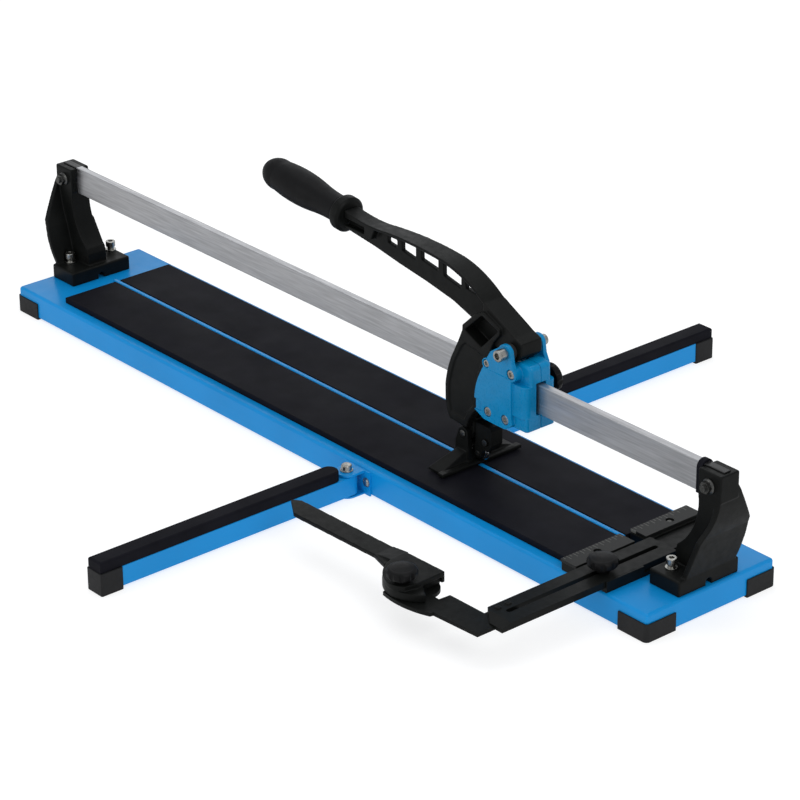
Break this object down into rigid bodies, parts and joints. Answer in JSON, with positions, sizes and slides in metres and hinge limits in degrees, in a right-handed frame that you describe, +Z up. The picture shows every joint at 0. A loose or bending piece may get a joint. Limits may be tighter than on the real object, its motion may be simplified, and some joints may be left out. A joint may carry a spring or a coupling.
{
  "type": "rail tile cutter",
  "caption": "Manual rail tile cutter: long steel base with rubber pads, flat rail on two end posts, roller carriage with cutting lever, sliding angle stop and folding side arms.",
  "frame": {"origin": "on the floor under the centre of the base", "axes": "+X along the rail towards the fence end, +Y across the base away from the angle stop, +Z up"},
  "size_m": [1.25, 0.976, 0.3216],
  "materials": {
    "blue_paint": "gloss",
    "cast_blue": "satin",
    "rubber_pad": "matt",
    "black_cast": "satin",
    "dark_plastic": "matt",
    "ruler_face": "satin black with a printed scale",
    "rail_steel": "ground",
    "zinc": "zinc plated",
    "dark_zinc": "black passivated",
    "bearing_steel": "polished",
    "bushing": "satin",
    "knob_plastic": "satin",
    "grip_rubber": "matt"
  },
  "bodies": {
    "base": {"base_pan": "blue_paint", "cross_members": "blue_paint", "corner_foot_near_front": "dark_plastic", "corner_foot_near_rear": "dark_plastic", "corner_foot_far_front": "dark_plastic", "corner_foot_far_rear": "dark_plastic", "front_pad": "rubber_pad", "rear_pad": "rubber_pad", "breaking_ridge": "blue_paint", "near_bracket": "black_cast", "far_bracket": "black_cast", "guide_rail": "rail_steel", "rail_bolts": "dark_zinc", "bracket_bolts": "zinc", "rail_bumper": "rubber_pad", "fence_block": "black_cast", "front_ruler": "ruler_face", "rear_ruler": "ruler_face", "ruler_screws": "dark_zinc", "front_hinge_bracket": "blue_paint", "rear_hinge_bracket": "blue_paint", "front_hinge_bolt": "zinc", "rear_hinge_bolt": "zinc", "front_hinge_screws": "zinc", "rear_hinge_screws": "zinc"},
    "slide_arm": {"slide_arm": "black_cast", "stop_link": "black_cast", "link_rivets": "black_cast", "stop_pivot_pin": "zinc"},
    "angle_stop": {"angle_stop": "black_cast"},
    "slide_lock_knob": {"slide_lock_knob": "knob_plastic"},
    "stop_lock_knob": {"stop_lock_knob": "knob_plastic"},
    "front_arm": {"front_arm_tube": "blue_paint", "front_arm_pad": "rubber_pad", "front_arm_foot": "dark_plastic"},
    "rear_arm": {"rear_arm_tube": "blue_paint", "rear_arm_pad": "rubber_pad", "rear_arm_foot": "dark_plastic"},
    "carriage": {"carriage_front_shell": "cast_blue", "carriage_rear_shell": "cast_blue", "axle_bolts": "zinc", "pivot_bolt": "zinc", "pivot_bushings": "bushing"},
    "carriage_knob": {"carriage_knob": "knob_plastic"},
    "roller_upper_near": {"roller_upper_near": "bearing_steel"},
    "roller_upper_far": {"roller_upper_far": "bearing_steel"},
    "roller_lower_near": {"roller_lower_near": "bearing_steel"},
    "roller_lower_far": {"roller_lower_far": "bearing_steel"},
    "lever": {"lever": "black_cast", "grip_collar": "black_cast", "grip": "grip_rubber", "grip_rod": "zinc", "foot_pin": "dark_zinc", "wheel_holder": "black_cast", "wheel_axle": "dark_zinc", "holder_screw": "dark_zinc"},
    "breaker_foot": {"breaker_foot": "black_cast"},
    "cutting_wheel": {"cutting_wheel": "bearing_steel"}
  },
  "joints": [
    {"name": "carriage_slide", "type": "slide", "parent": "base", "child": "carriage", "axis": [1, 0, 0], "range_m": [-0.735, 0.225]},
    {"name": "lever_lift", "type": "hinge", "parent": "carriage", "child": "lever", "pos_m": [0.289, 0, 0.219], "axis": [0, 1, 0], "range_deg": [0, 18]},
    {"name": "breaker_foot_tilt", "type": "hinge", "parent": "lever", "child": "breaker_foot", "pos_m": [0.205, 0, 0.0835], "axis": [0, 1, 0], "range_deg": [-4, 4]},
    {"name": "cutting_wheel_spin", "type": "hinge", "parent": "lever", "child": "cutting_wheel", "pos_m": [0.222, 0, 0.0605], "axis": [0, 1, 0], "continuous": true},
    {"name": "arm_slide", "type": "slide", "parent": "base", "child": "slide_arm", "axis": [0, 1, 0], "range_m": [-0.08, 0.105]},
    {"name": "stop_swing", "type": "hinge", "parent": "slide_arm", "child": "angle_stop", "pos_m": [0.3975, -0.2495, 0.048], "axis": [0, 0, 1], "range_deg": [-20, 45]},
    {"name": "slide_lock_turn", "type": "hinge", "parent": "base", "child": "slide_lock_knob", "pos_m": [0.513, -0.082, 0.057], "axis": [0, 0, 1], "continuous": true},
    {"name": "stop_lock_turn", "type": "hinge", "parent": "angle_stop", "child": "stop_lock_knob", "pos_m": [0.39893, -0.27747, 0.068], "axis": [0, 0, 1], "continuous": true},
    {"name": "front_arm_swing", "type": "hinge", "parent": "base", "child": "front_arm", "pos_m": [0.11, -0.118, 0.016], "axis": [0, 0, 1], "range_deg": [-90, 0]},
    {"name": "rear_arm_swing", "type": "hinge", "parent": "base", "child": "rear_arm", "pos_m": [0.11, 0.118, 0.016], "axis": [0, 0, 1], "range_deg": [0, 90]},
    {"name": "carriage_knob_turn", "type": "hinge", "parent": "carriage", "child": "carriage_knob", "pos_m": [0.303, 0.033, 0.176], "axis": [0, 1, 0], "continuous": true},
    {"name": "roller_upper_near_spin", "type": "hinge", "parent": "carriage", "child": "roller_upper_near", "pos_m": [0.2983, 0, 0.1953], "axis": [0, 1, 0], "continuous": true},
    {"name": "roller_upper_far_spin", "type": "hinge", "parent": "carriage", "child": "roller_upper_far", "pos_m": [0.2564, 0, 0.1953], "axis": [0, 1, 0], "continuous": true},
    {"name": "roller_lower_near_spin", "type": "hinge", "parent": "carriage", "child": "roller_lower_near", "pos_m": [0.2888, 0, 0.1342], "axis": [0, 1, 0], "continuous": true},
    {"name": "roller_lower_far_spin", "type": "hinge", "parent": "carriage", "child": "roller_lower_far", "pos_m": [0.259, 0, 0.1342], "axis": [0, 1, 0], "continuous": true}
  ],
  "couplings": [
    {"joint": "roller_upper_near_spin", "follows": "carriage_slide", "rad_per_m": 90.909},
    {"joint": "roller_upper_far_spin", "follows": "carriage_slide", "rad_per_m": 90.909},
    {"joint": "roller_lower_near_spin", "follows": "carriage_slide", "rad_per_m": -76.923},
    {"joint": "roller_lower_far_spin", "follows": "carriage_slide", "rad_per_m": -76.923}
  ]
}
